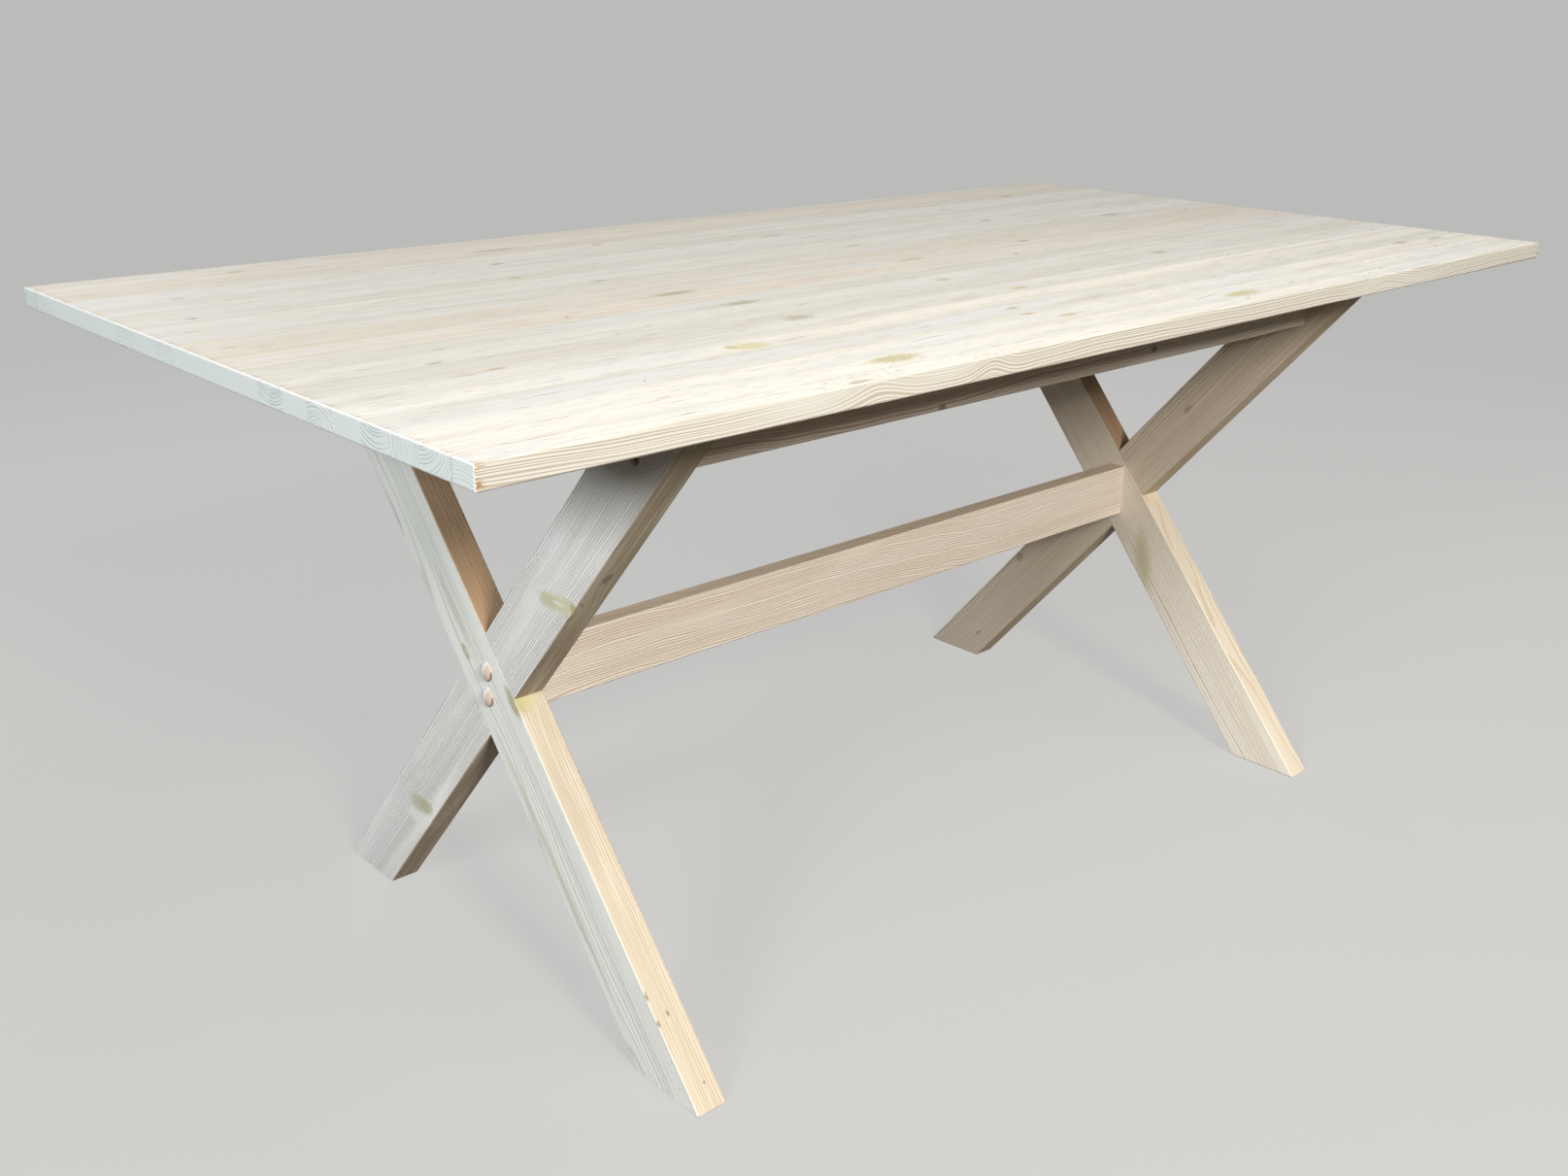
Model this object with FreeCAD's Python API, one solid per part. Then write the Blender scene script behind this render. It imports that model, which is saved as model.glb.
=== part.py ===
import FreeCAD, Part
import math
import os

# Sawbuck table: a top glued up from staves, on two half-lapped X frames that are tied together
# by a stretcher at their crossings and by a rail under each side of the top.
# Millimetres. X runs along the table, -Y is its front and Z is up. The origin is on the floor
# under the middle of the top.

# Top
TABLE_HEIGHT = 750.0
TOP_LENGTH = 1700.0
TOP_WIDTH = 880.0
TOP_THICKNESS = 21.0
TOP_EASE = 1.2
UNDERSIDE_ROUND = 2.0
CORNER_ROUND = 2.0

# Staves of the top, with a trimmed one along the front and another along the back
STAVE_WIDTH = 42.9
FULL_STAVES = 19
FRONT_STAVE_WIDTH = 30.5

# Legs, as straight bars that cross at one height
LEG_THICKNESS = 37.0
LEG_WIDTH = 77.0
LEG_EASE = 2.0
FOOT_EASE = 1.5
FRAME_OUTER_X = 578.0
FOOT_CENTRE_Y = 301.5
CROSSING_Z = 356.0

# Stretcher and rails, sawn from one size of board
BOARD_THICKNESS = 25.0
BOARD_EASE = 2.0
STRETCHER_HEIGHT = 75.0
RAIL_HEIGHT = 81.0

# Bolts with a flat head and a hexagon socket, and the round cross nuts that they pull on
BOLT_DIAMETER = 6.0
BOLT_HOLE_DIAMETER = 6.5
BOLT_LENGTH = 70.0
BOLT_HEAD_DIAMETER = 15.0
BOLT_HEAD_HEIGHT = 3.0
BOLT_HEAD_EASE = 0.6
SOCKET_ACROSS_FLATS = 4.0
SOCKET_DEPTH = 2.0
BOLT_BORE_DEPTH = 50.0
NUT_DIAMETER = 10.0
NUT_LENGTH = 16.0
NUT_INSET = 36.0
NUT_EASE = 0.5

# Sinkings in the legs for the bolt heads
SINK_DIAMETER = 18.0
CROSSING_SINK_DEPTH = 12.0
RAIL_SINK_DEPTH = 8.0
CROSSING_BOLT_SPACING = 30.0
RAIL_BOLT_Z = 668.0

# Turned wooden caps over the crossing bolts
CAP_DIAMETER = 20.5
CAP_RIM = 1.6
CAP_HEIGHT = 5.2
CAP_STEM_LENGTH = 8.0

# Dowels that steady the rail ends above their bolts
DOWEL_DIAMETER = 8.0
DOWEL_LENGTH = 40.0
DOWEL_EASE = 1.0
DOWEL_RISE = 30.0

# Screws that hold the top, driven up through sunk holes in the rails
SCREW_STATIONS = (-400.0, 0.0, 400.0)
SCREW_DIAMETER = 4.5
SCREW_HOLE_DIAMETER = 5.0
SCREW_HEAD_DIAMETER = 9.0
SCREW_HEAD_HEIGHT = 3.0
SCREW_GRIP = 30.0
SCREW_BITE = 14.0
SCREW_TIP = 3.0
SCREW_SINK_DIAMETER = 10.0

# Sizes that follow from the ones above
UNDERSIDE_Z = TABLE_HEIGHT - TOP_THICKNESS
LEG_SLOPE = CROSSING_Z / FOOT_CENTRE_Y
LEG_LEAN = 90.0 - math.degrees(math.atan(LEG_SLOPE))
FRAME_MIDDLE_X = FRAME_OUTER_X - LEG_THICKNESS / 2
FRAME_INNER_X = FRAME_OUTER_X - LEG_THICKNESS
STRETCHER_BOTTOM_Z = CROSSING_Z - STRETCHER_HEIGHT / 2
RAIL_Y = (RAIL_BOLT_Z - CROSSING_Z) / LEG_SLOPE
RAIL_BOTTOM_Z = UNDERSIDE_Z - RAIL_HEIGHT
SCREW_SEAT_Z = UNDERSIDE_Z - SCREW_GRIP
CROSSING_BOLT_HEIGHTS = {
    "upper": CROSSING_Z + CROSSING_BOLT_SPACING / 2,
    "lower": CROSSING_Z - CROSSING_BOLT_SPACING / 2,
}
# Each end's sign along X, and each side's sign along Y
ENDS = {"left": -1, "right": 1}
SIDES = {"front": -1, "back": 1}

# Longer than anything it has to cut through
PAST = 100.0


def at(x, y, z):
    return FreeCAD.Vector(x, y, z)


def placed(shape, position, direction):
    """Copy of a shape made along +X from the origin, moved to a position and turned to a direction."""
    moved = shape.copy()
    moved.Placement = FreeCAD.Placement(position, FreeCAD.Rotation(at(1, 0, 0), direction))
    return moved


def drilled(diameter, depth, position, direction):
    """Round hole as a solid, from a position along a direction."""
    return Part.makeCylinder(diameter / 2, depth, position, direction)


def corner_arc(centre_x, centre_y, radius, start_angle):
    circle = Part.Circle(at(centre_x, centre_y, 0), at(0, 0, 1), radius)
    return Part.Arc(circle, math.radians(start_angle), math.radians(start_angle + 90)).toShape()


def rounded_rectangle(width, height, low_radius, high_radius):
    """Face in the XY plane that stands on the X axis, centred, with its four corners rounded."""
    side = width / 2
    arcs = [
        corner_arc(side - low_radius, low_radius, low_radius, -90),
        corner_arc(side - high_radius, height - high_radius, high_radius, 0),
        corner_arc(high_radius - side, height - high_radius, high_radius, 90),
        corner_arc(low_radius - side, low_radius, low_radius, 180),
    ]
    edges = []
    for arc, following in zip(arcs, arcs[1:] + arcs[:1]):
        edges.append(arc)
        start = arc.valueAt(arc.LastParameter)
        edges.append(Part.makeLine(start, following.valueAt(following.FirstParameter)))
    return Part.Face(Part.Wire(edges))


def bar_along_x(length, middle_y, bottom_z, section):
    """Bar with a section drawn in the XY plane, stood up across Y and Z, and centred along X."""
    stood_up = FreeCAD.Rotation(at(1, 1, 1), 120)
    section.Placement = FreeCAD.Placement(at(-length / 2, middle_y, bottom_z), stood_up)
    return section.extrude(at(length, 0, 0))


def turned(outline):
    """Solid turned about the X axis from (along, radius) points that start and end on the axis."""
    points = [at(along, radius, 0) for along, radius in outline]
    face = Part.Face(Part.makePolygon(points + points[:1]))
    return face.revolve(at(0, 0, 0), at(1, 0, 0), 360)


# Top

def top_panel():
    """The glued panel with its edges profiled all round, before it is parted into staves."""
    across = rounded_rectangle(TOP_WIDTH, TOP_THICKNESS, UNDERSIDE_ROUND, TOP_EASE)
    long_sides = bar_along_x(TOP_LENGTH, 0, UNDERSIDE_Z, across)
    along = rounded_rectangle(TOP_LENGTH, TOP_THICKNESS, UNDERSIDE_ROUND, TOP_EASE)
    stood_up = FreeCAD.Rotation(at(1, 0, 0), 90)
    along.Placement = FreeCAD.Placement(at(0, TOP_WIDTH / 2, UNDERSIDE_Z), stood_up)
    ends = along.extrude(at(0, -TOP_WIDTH, 0))
    plan = rounded_rectangle(TOP_LENGTH, TOP_WIDTH, CORNER_ROUND, CORNER_ROUND)
    plan.translate(at(0, -TOP_WIDTH / 2, UNDERSIDE_Z))
    corners = plan.extrude(at(0, 0, TOP_THICKNESS))
    return long_sides.common(ends).common(corners)


def stave_edges():
    """Y of every glue line and of the panel's two long edges, from front to back."""
    front = -TOP_WIDTH / 2
    glue_lines = [front + FRONT_STAVE_WIDTH + STAVE_WIDTH * count for count in range(FULL_STAVES + 1)]
    return [front] + glue_lines + [TOP_WIDTH / 2]


def add_staves(parts):
    panel = top_panel()
    for side in SIDES.values():
        for station in SCREW_STATIONS:
            foot = at(station, side * RAIL_Y, UNDERSIDE_Z)
            panel = panel.cut(drilled(SCREW_DIAMETER, SCREW_BITE, foot, at(0, 0, 1)))
    edges = stave_edges()
    for number, (front, back) in enumerate(zip(edges, edges[1:]), start=1):
        corner = at(-TOP_LENGTH / 2 - PAST, front, UNDERSIDE_Z - PAST)
        slice_box = Part.makeBox(TOP_LENGTH + 2 * PAST, back - front, TOP_THICKNESS + 2 * PAST, corner)
        parts[f"top_stave_{number:02d}"] = panel.common(slice_box)


# X frames

def leaning(shape, lean, middle_x):
    """Shape made about the Z axis, leaned about X and moved to the crossing of a frame."""
    rotation = FreeCAD.Rotation(at(1, 0, 0), lean)
    shape.Placement = FreeCAD.Placement(at(middle_x, 0, CROSSING_Z), rotation)
    return shape


def leg_bar(lean, middle_x):
    """One leg with eased long edges, cut level at the floor and under the top, its foot eased."""
    section = rounded_rectangle(LEG_THICKNESS, LEG_WIDTH, LEG_EASE, LEG_EASE)
    section.translate(at(0, -LEG_WIDTH / 2, -TABLE_HEIGHT))
    bar = leaning(section.extrude(at(0, 0, 2 * TABLE_HEIGHT)), lean, middle_x)
    corner = at(-FRAME_OUTER_X - PAST, -TOP_WIDTH, 0)
    level = Part.makeBox(2 * (FRAME_OUTER_X + PAST), 2 * TOP_WIDTH, UNDERSIDE_Z, corner)
    leg = bar.common(level)
    foot = min(leg.Faces, key=lambda face: face.CenterOfMass.z)
    return leg.makeChamfer(FOOT_EASE, foot.Edges)


def lap_cut(lean, middle_x, face_sign):
    """The half of the crossing leg's thickness that a leg gives up, on its +X or -X face."""
    near = min(0, face_sign * LEG_THICKNESS)
    corner = at(near, -LEG_WIDTH / 2, -2 * LEG_WIDTH)
    return leaning(Part.makeBox(LEG_THICKNESS, LEG_WIDTH, 4 * LEG_WIDTH, corner), lean, middle_x)


def crossing_holes(end):
    """Bolt holes through a crossing, sunk on the outer face."""
    inward = at(-end, 0, 0)
    holes = []
    for height in CROSSING_BOLT_HEIGHTS.values():
        mouth = at(end * FRAME_OUTER_X, 0, height)
        holes.append(drilled(BOLT_HOLE_DIAMETER, LEG_THICKNESS, mouth, inward))
        holes.append(drilled(SINK_DIAMETER, CROSSING_SINK_DEPTH, mouth, inward))
    return holes


def rail_holes(end, side):
    """A leg's sunk bolt hole and blind dowel hole for the rail that butts against it."""
    inward = at(-end, 0, 0)
    mouth = at(end * FRAME_OUTER_X, side * RAIL_Y, RAIL_BOLT_Z)
    dowel_mouth = at(end * FRAME_INNER_X, side * RAIL_Y, RAIL_BOLT_Z + DOWEL_RISE)
    return [
        drilled(BOLT_HOLE_DIAMETER, LEG_THICKNESS, mouth, inward),
        drilled(SINK_DIAMETER, RAIL_SINK_DEPTH, mouth, inward),
        drilled(DOWEL_DIAMETER, DOWEL_LENGTH / 2, dowel_mouth, at(end, 0, 0)),
    ]


def add_legs(parts):
    """Two legs to a frame. The leg with its foot at the front keeps its -X half at the lap."""
    for end_name, end in ENDS.items():
        middle_x = end * FRAME_MIDDLE_X
        for foot_name, foot_side in SIDES.items():
            lean = foot_side * LEG_LEAN
            cuts = [lap_cut(-lean, middle_x, -foot_side)]
            cuts += crossing_holes(end)
            cuts += rail_holes(end, -foot_side)
            parts[f"leg_{end_name}_{foot_name}_foot"] = leg_bar(lean, middle_x).cut(cuts)


# Stretcher and rails

def end_bores(middle_y, heights, nut_side):
    """Bolt bores in both ends of a board, and the cross holes for their nuts from its hidden face."""
    bores = []
    nut_depth = (BOARD_THICKNESS + NUT_LENGTH) / 2
    for end in ENDS.values():
        for height in heights:
            mouth = at(end * FRAME_INNER_X, middle_y, height)
            bores.append(drilled(BOLT_HOLE_DIAMETER, BOLT_BORE_DEPTH, mouth, at(-end, 0, 0)))
            face_y = middle_y + nut_side * BOARD_THICKNESS / 2
            nut_mouth = at(end * (FRAME_INNER_X - NUT_INSET), face_y, height)
            bores.append(drilled(NUT_DIAMETER, nut_depth, nut_mouth, at(0, -nut_side, 0)))
    return bores


def add_stretcher(parts):
    section = rounded_rectangle(BOARD_THICKNESS, STRETCHER_HEIGHT, BOARD_EASE, BOARD_EASE)
    bar = bar_along_x(2 * FRAME_INNER_X, 0, STRETCHER_BOTTOM_Z, section)
    parts["stretcher"] = bar.cut(end_bores(0, CROSSING_BOLT_HEIGHTS.values(), SIDES["back"]))


def add_rails(parts):
    for name, side in SIDES.items():
        middle_y = side * RAIL_Y
        section = rounded_rectangle(BOARD_THICKNESS, RAIL_HEIGHT, BOARD_EASE, BOARD_EASE)
        bar = bar_along_x(2 * FRAME_INNER_X, middle_y, RAIL_BOTTOM_Z, section)
        cuts = end_bores(middle_y, [RAIL_BOLT_Z], -side)
        for end in ENDS.values():
            mouth = at(end * FRAME_INNER_X, middle_y, RAIL_BOLT_Z + DOWEL_RISE)
            cuts.append(drilled(DOWEL_DIAMETER, DOWEL_LENGTH / 2, mouth, at(-end, 0, 0)))
        for station in SCREW_STATIONS:
            mouth = at(station, middle_y, RAIL_BOTTOM_Z)
            cuts.append(drilled(SCREW_HOLE_DIAMETER, RAIL_HEIGHT, mouth, at(0, 0, 1)))
            sink_depth = SCREW_SEAT_Z - RAIL_BOTTOM_Z
            cuts.append(drilled(SCREW_SINK_DIAMETER, sink_depth, mouth, at(0, 0, 1)))
        parts[f"rail_{name}"] = bar.cut(cuts)


# Caps and fasteners

def cap():
    """Domed cap with its rim on the leg's face at the origin, its stem along +X."""
    rim = CAP_DIAMETER / 2
    stem = SINK_DIAMETER / 2
    dome_rise = CAP_HEIGHT - CAP_RIM
    dome_radius = (rim ** 2 + dome_rise ** 2) / (2 * dome_rise)
    half_turn = math.asin(rim / dome_radius) / 2
    middle = at(dome_radius - CAP_HEIGHT - dome_radius * math.cos(half_turn),
                dome_radius * math.sin(half_turn), 0)
    crown = at(-CAP_HEIGHT, 0, 0)
    rim_edge = at(-CAP_RIM, rim, 0)
    dome = Part.Arc(crown, middle, rim_edge).toShape()
    foot = at(CAP_STEM_LENGTH, 0, 0)
    rest = [rim_edge, at(0, rim, 0), at(0, stem, 0), at(CAP_STEM_LENGTH, stem, 0), foot, crown]
    wire = Part.Wire([dome] + Part.makePolygon(rest).Edges)
    return Part.Face(wire).revolve(at(0, 0, 0), at(1, 0, 0), 360)


def bolt():
    """Bolt with its head's seat at the origin, its shank along +X and a hexagon socket."""
    head = BOLT_HEAD_DIAMETER / 2
    shank = BOLT_DIAMETER / 2
    body = turned([
        (-BOLT_HEAD_HEIGHT, 0),
        (-BOLT_HEAD_HEIGHT, head - BOLT_HEAD_EASE),
        (BOLT_HEAD_EASE - BOLT_HEAD_HEIGHT, head),
        (0, head),
        (0, shank),
        (BOLT_LENGTH, shank),
        (BOLT_LENGTH, 0),
    ])
    key_radius = SOCKET_ACROSS_FLATS / math.sqrt(3)
    key = []
    for step in range(7):
        angle = math.radians(60 * step)
        key.append(at(-BOLT_HEAD_HEIGHT, key_radius * math.cos(angle), key_radius * math.sin(angle)))
    return body.cut(Part.Face(Part.makePolygon(key)).extrude(at(SOCKET_DEPTH, 0, 0)))


def peg(diameter, length, ease):
    """Round bar with chamfered ends, centred on the origin along X."""
    radius = diameter / 2
    half = length / 2
    return turned([(-half, 0), (-half, radius - ease), (ease - half, radius),
                   (half - ease, radius), (half, radius - ease), (half, 0)])


def cross_nut(position):
    """Round nut that lies across a board, with the bolt's hole through it."""
    nut = placed(peg(NUT_DIAMETER, NUT_LENGTH, NUT_EASE), position, at(0, 1, 0))
    mouth = position - at(NUT_DIAMETER, 0, 0)
    return nut.cut(drilled(BOLT_DIAMETER, 2 * NUT_DIAMETER, mouth, at(1, 0, 0)))


def screw():
    """Pan-head screw with its head's seat at the origin, its shank along +X."""
    head = SCREW_HEAD_DIAMETER / 2
    shank = SCREW_DIAMETER / 2
    length = SCREW_GRIP + SCREW_BITE
    return turned([(-SCREW_HEAD_HEIGHT, 0), (-SCREW_HEAD_HEIGHT, head / 2), (0, head), (0, shank),
                   (length - SCREW_TIP, shank), (length, 0)])


def add_crossing_fasteners(parts):
    for end_name, end in ENDS.items():
        inward = at(-end, 0, 0)
        for level, height in CROSSING_BOLT_HEIGHTS.items():
            face = at(end * FRAME_OUTER_X, 0, height)
            seat = face + inward * CROSSING_SINK_DEPTH
            nut_place = at(end * (FRAME_INNER_X - NUT_INSET), 0, height)
            parts[f"cap_{end_name}_{level}"] = placed(cap(), face, inward)
            parts[f"crossing_bolt_{end_name}_{level}"] = placed(bolt(), seat, inward)
            parts[f"crossing_nut_{end_name}_{level}"] = cross_nut(nut_place)


def add_rail_fasteners(parts):
    for end_name, end in ENDS.items():
        inward = at(-end, 0, 0)
        for side_name, side in SIDES.items():
            corner = f"{end_name}_{side_name}"
            seat_x = end * (FRAME_OUTER_X - RAIL_SINK_DEPTH)
            nut_x = end * (FRAME_INNER_X - NUT_INSET)
            dowel_place = at(end * FRAME_INNER_X, side * RAIL_Y, RAIL_BOLT_Z + DOWEL_RISE)
            dowel = peg(DOWEL_DIAMETER, DOWEL_LENGTH, DOWEL_EASE)
            parts[f"rail_bolt_{corner}"] = placed(bolt(), at(seat_x, side * RAIL_Y, RAIL_BOLT_Z), inward)
            parts[f"rail_nut_{corner}"] = cross_nut(at(nut_x, side * RAIL_Y, RAIL_BOLT_Z))
            parts[f"rail_dowel_{corner}"] = placed(dowel, dowel_place, inward)


def add_top_screws(parts):
    for side_name, side in SIDES.items():
        for number, station in enumerate(SCREW_STATIONS, start=1):
            seat = at(station, side * RAIL_Y, SCREW_SEAT_Z)
            parts[f"top_screw_{side_name}_{number}"] = placed(screw(), seat, at(0, 0, 1))


def single_solid(shape):
    """The one solid of a piece, without the faces that cuts leave split."""
    if len(shape.Solids) != 1:
        raise ValueError("a piece is not one solid")
    return shape.Solids[0].removeSplitter()


def main():
    parts = {}
    add_staves(parts)
    add_legs(parts)
    add_stretcher(parts)
    add_rails(parts)
    add_crossing_fasteners(parts)
    add_rail_fasteners(parts)
    add_top_screws(parts)
    os.makedirs("parts", exist_ok=True)
    for name, shape in parts.items():
        single_solid(shape).exportStep(f"parts/{name}.step")


main()
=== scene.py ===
import math

import bpy
from mathutils import Matrix, Vector


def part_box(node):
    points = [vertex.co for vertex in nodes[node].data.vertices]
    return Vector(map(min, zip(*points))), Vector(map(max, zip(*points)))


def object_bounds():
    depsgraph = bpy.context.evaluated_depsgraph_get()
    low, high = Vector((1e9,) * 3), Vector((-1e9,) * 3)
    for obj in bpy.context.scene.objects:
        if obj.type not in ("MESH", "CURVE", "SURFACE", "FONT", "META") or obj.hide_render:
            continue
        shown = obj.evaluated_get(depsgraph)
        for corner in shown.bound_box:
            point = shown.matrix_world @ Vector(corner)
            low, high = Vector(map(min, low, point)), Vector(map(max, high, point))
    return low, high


# Looks of a sawbuck table in whitewashed, brushed pine. Metres in the scene, millimetres inside
# the wood materials. X runs along the table, -Y is its front and Z is up.

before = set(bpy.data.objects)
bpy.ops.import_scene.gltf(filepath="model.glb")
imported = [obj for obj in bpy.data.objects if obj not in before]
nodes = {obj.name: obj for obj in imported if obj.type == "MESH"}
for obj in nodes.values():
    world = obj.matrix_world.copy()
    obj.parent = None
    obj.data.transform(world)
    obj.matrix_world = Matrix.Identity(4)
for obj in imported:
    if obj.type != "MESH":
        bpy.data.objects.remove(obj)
cad_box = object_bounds()

MM = 0.001
TO_MM = 1000.0

# Camera: the photograph's viewing angle
IMAGE_WIDTH = 1615
SENSOR_WIDTH = 36.0
FOCAL_PIXELS = 1643.28
CAMERA_PLACE = Vector((-1.41476, -1.35945, 1.06077))
CAMERA_AZIMUTH = math.radians(-43.0475)
CAMERA_ELEVATION = math.radians(20.6092)
CAMERA_ROLL = math.radians(0.9248)

# The X frames
CROSSING_HEIGHT = 356.0
FOOT_REACH = 301.5
LEG_LEAN = math.atan2(FOOT_REACH, CROSSING_HEIGHT)

# A board's own axes
ALONG = 0
ACROSS = 1
THROUGH = 2


def srgb(red, green, blue):
    """Linear colour from the 0 to 255 values that a screen shows."""
    linear = []
    for value in (red, green, blue):
        part = value / 255
        linear.append(part / 12.92 if part <= 0.04045 else ((part + 0.055) / 1.055) ** 2.4)
    return (*linear, 1.0)


# Short ways to build node trees

# Sockets that a mix node has for colours
MIX_AMOUNT = 0
MIX_FIRST = 6
MIX_SECOND = 7
MIX_RESULT = 2
FLOAT = "NodeSocketFloat"
VECTOR = "NodeSocketVector"


class Net:
    """Adds linked nodes to one tree. Values may be numbers or the outputs of other nodes."""

    def __init__(self, tree):
        self.tree = tree

    def new(self, kind, **settings):
        """A node of one kind, with its settings."""
        node = self.tree.nodes.new(kind)
        for name, value in settings.items():
            setattr(node, name, value)
        return node

    def feed(self, socket, value):
        """Links an output to a socket, or writes a plain value on it."""
        if isinstance(value, bpy.types.NodeSocket):
            self.tree.links.new(value, socket)
        else:
            socket.default_value = value

    def math(self, operation, *values):
        """Result of one operation on numbers."""
        node = self.new("ShaderNodeMath", operation=operation)
        for socket, value in zip(node.inputs, values):
            self.feed(socket, value)
        return node.outputs[0]

    def times(self, first, second):
        """Product of two numbers."""
        return self.math("MULTIPLY", first, second)

    def vector(self, operation, *values):
        """Result of one operation on vectors."""
        node = self.new("ShaderNodeVectorMath", operation=operation)
        for socket, value in zip(node.inputs, values):
            self.feed(socket, value)
        gives_number = operation in ("LENGTH", "DOT_PRODUCT")
        return node.outputs["Value" if gives_number else "Vector"]

    def apart(self, vector):
        """The three parts of a vector."""
        node = self.new("ShaderNodeSeparateXYZ")
        self.feed(node.inputs[0], vector)
        return node.outputs

    def smooth(self, value, low, high):
        """0 below low, 1 above high, and an even curve between them."""
        node = self.new("ShaderNodeMapRange", interpolation_type="SMOOTHSTEP")
        for name, given in (("Value", value), ("From Min", low), ("From Max", high)):
            self.feed(node.inputs[name], given)
        return node.outputs["Result"]

    def blend(self, amount, first, second):
        """Colour between a first one, at amount 0, and a second one, at amount 1."""
        node = self.new("ShaderNodeMix", data_type="RGBA")
        for index, given in ((MIX_AMOUNT, amount), (MIX_FIRST, first), (MIX_SECOND, second)):
            self.feed(node.inputs[index], given)
        return node.outputs[MIX_RESULT]

    def noise(self, place, stretch, detail=2.0, roughness=0.5):
        """Noise from about 0 to 1, with one wave to each millimetre times stretch."""
        node = self.new("ShaderNodeTexNoise")
        self.feed(node.inputs["Vector"], self.vector("MULTIPLY", place, stretch))
        node.inputs["Scale"].default_value = 1.0
        node.inputs["Detail"].default_value = detail
        node.inputs["Roughness"].default_value = roughness
        return node.outputs[0]

    def wave(self, terms, shift):
        """Sine of a sum of (value, factor) terms and a shift."""
        total = shift
        for value, factor in terms:
            total = self.math("MULTIPLY_ADD", value, factor, total)
        return self.math("SINE", total)

    def surface(self, shader):
        """Makes a shader the surface of the material."""
        output = self.new("ShaderNodeOutputMaterial")
        self.feed(output.inputs["Surface"], shader.outputs[0])

    def relief_surface(self, colour, roughness, height, depth):
        """A surface that rises and falls with height, by depth in millimetres."""
        bump = self.new("ShaderNodeBump")
        self.feed(bump.inputs["Height"], height)
        bump.inputs["Distance"].default_value = depth * MM
        shader = self.new("ShaderNodeBsdfPrincipled")
        self.feed(shader.inputs["Base Color"], colour)
        self.feed(shader.inputs["Roughness"], roughness)
        self.feed(shader.inputs["Normal"], bump.outputs["Normal"])
        self.surface(shader)
        return shader


def blank_material(name):
    """A new material with an empty tree."""
    material = bpy.data.materials.new(name)
    material.use_nodes = True
    material.node_tree.nodes.clear()
    return material, Net(material.node_tree)


def node_group(name, inputs, outputs):
    """An empty node group with named sockets."""
    tree = bpy.data.node_groups.new(name, "ShaderNodeTree")
    for socket_name, kind in inputs:
        tree.interface.new_socket(socket_name, in_out="INPUT", socket_type=kind)
    for socket_name, kind in outputs:
        tree.interface.new_socket(socket_name, in_out="OUTPUT", socket_type=kind)
    given = tree.nodes.new("NodeGroupInput").outputs
    result = tree.nodes.new("NodeGroupOutput").inputs
    return tree, Net(tree), given, result


# Growth rings

# Sway of the pith for each axis: millimetres to a radian of a slow and a quick wave, and a phase factor
PITH_SWAY = {ACROSS: (210, 83, 1.0), THROUGH: (170, 61, 1.7)}
SWAY_REACH = 8.0
QUICK_SWAY = 0.38
QUICK_TURN = 1.4
# Ripples in the rings: millimetres to a radian along, across and through the board, and a phase factor
COARSE_RIPPLE = ((38, 14), 4.0)
FINE_RIPPLE = ((17, -9, 7), 5.0)
FINE_RIPPLE_SHARE = 0.55
# Rings that lie closer or wider: a slow and a quick beat for each ring, in radians
SLOW_BEAT = 0.9
QUICK_BEAT = 2.3
QUICK_BEAT_TURN = 2.0
QUICK_BEAT_SHARE = 0.55


def ring_group():
    """Growth rings round a pith line that sways along the board: a count of rings at each place."""
    inputs = [("Place", VECTOR), ("Pith", VECTOR)]
    inputs += [(name, FLOAT) for name in ("Spacing", "Crowd", "Waver", "Phase", "Uneven")]
    tree, net, given, result = node_group("pine_rings", inputs, [("Ring", FLOAT)])
    place = net.apart(given["Place"])
    pith = net.apart(given["Pith"])

    def turned(factor):
        """A share of the board's phase."""
        return net.times(given["Phase"], factor)

    def ripple(lengths, turn):
        """A wave that runs through the whole board."""
        return net.wave([(part, 1 / length) for part, length in zip(place, lengths)], turned(turn))

    from_pith = net.new("ShaderNodeCombineXYZ")
    for axis, (slow_length, quick_length, turn) in PITH_SWAY.items():
        slow = net.wave([(place[ALONG], 1 / slow_length)], turned(turn))
        quick = net.wave([(place[ALONG], 1 / quick_length)], turned(turn + QUICK_TURN))
        both = net.math("MULTIPLY_ADD", quick, QUICK_SWAY, slow)
        sway = net.times(net.times(both, SWAY_REACH), given["Waver"])
        offset = net.math("SUBTRACT", place[axis], pith[axis])
        net.feed(from_pith.inputs[axis], net.math("SUBTRACT", offset, sway))
    radius = net.vector("LENGTH", from_pith.outputs[0])
    ripples = net.math("MULTIPLY_ADD", ripple(*FINE_RIPPLE), FINE_RIPPLE_SHARE, ripple(*COARSE_RIPPLE))
    radius = net.math("MULTIPLY_ADD", ripples, given["Waver"], radius)
    crowd = net.math("MULTIPLY_ADD", radius, given["Crowd"], 1.0)
    count = net.times(net.math("DIVIDE", radius, given["Spacing"]), crowd)
    slow_beat = net.wave([(count, SLOW_BEAT)], given["Phase"])
    quick_beat = net.wave([(count, QUICK_BEAT)], turned(QUICK_BEAT_TURN))
    stray = net.math("MULTIPLY_ADD", quick_beat, QUICK_BEAT_SHARE, slow_beat)
    net.feed(result["Ring"], net.math("MULTIPLY_ADD", stray, given["Uneven"], count))
    return tree


# Knots

# The parts of a place that lie off a board's middle line
OFF_LINE = (0.0, 1.0, 1.0)
# How slowly a knot's pull on the grain fades: the square of a distance in half sizes
PULL_REACH = 4.0
# Ragged outline: noise in waves to the millimetre, and distances in half sizes where the knot fades
KNOT_RAGGED = (0.16, 0.45, 0.45)
NOISE_MIDDLE = 0.5
KNOT_FADE = (0.55, 1.40)
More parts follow.
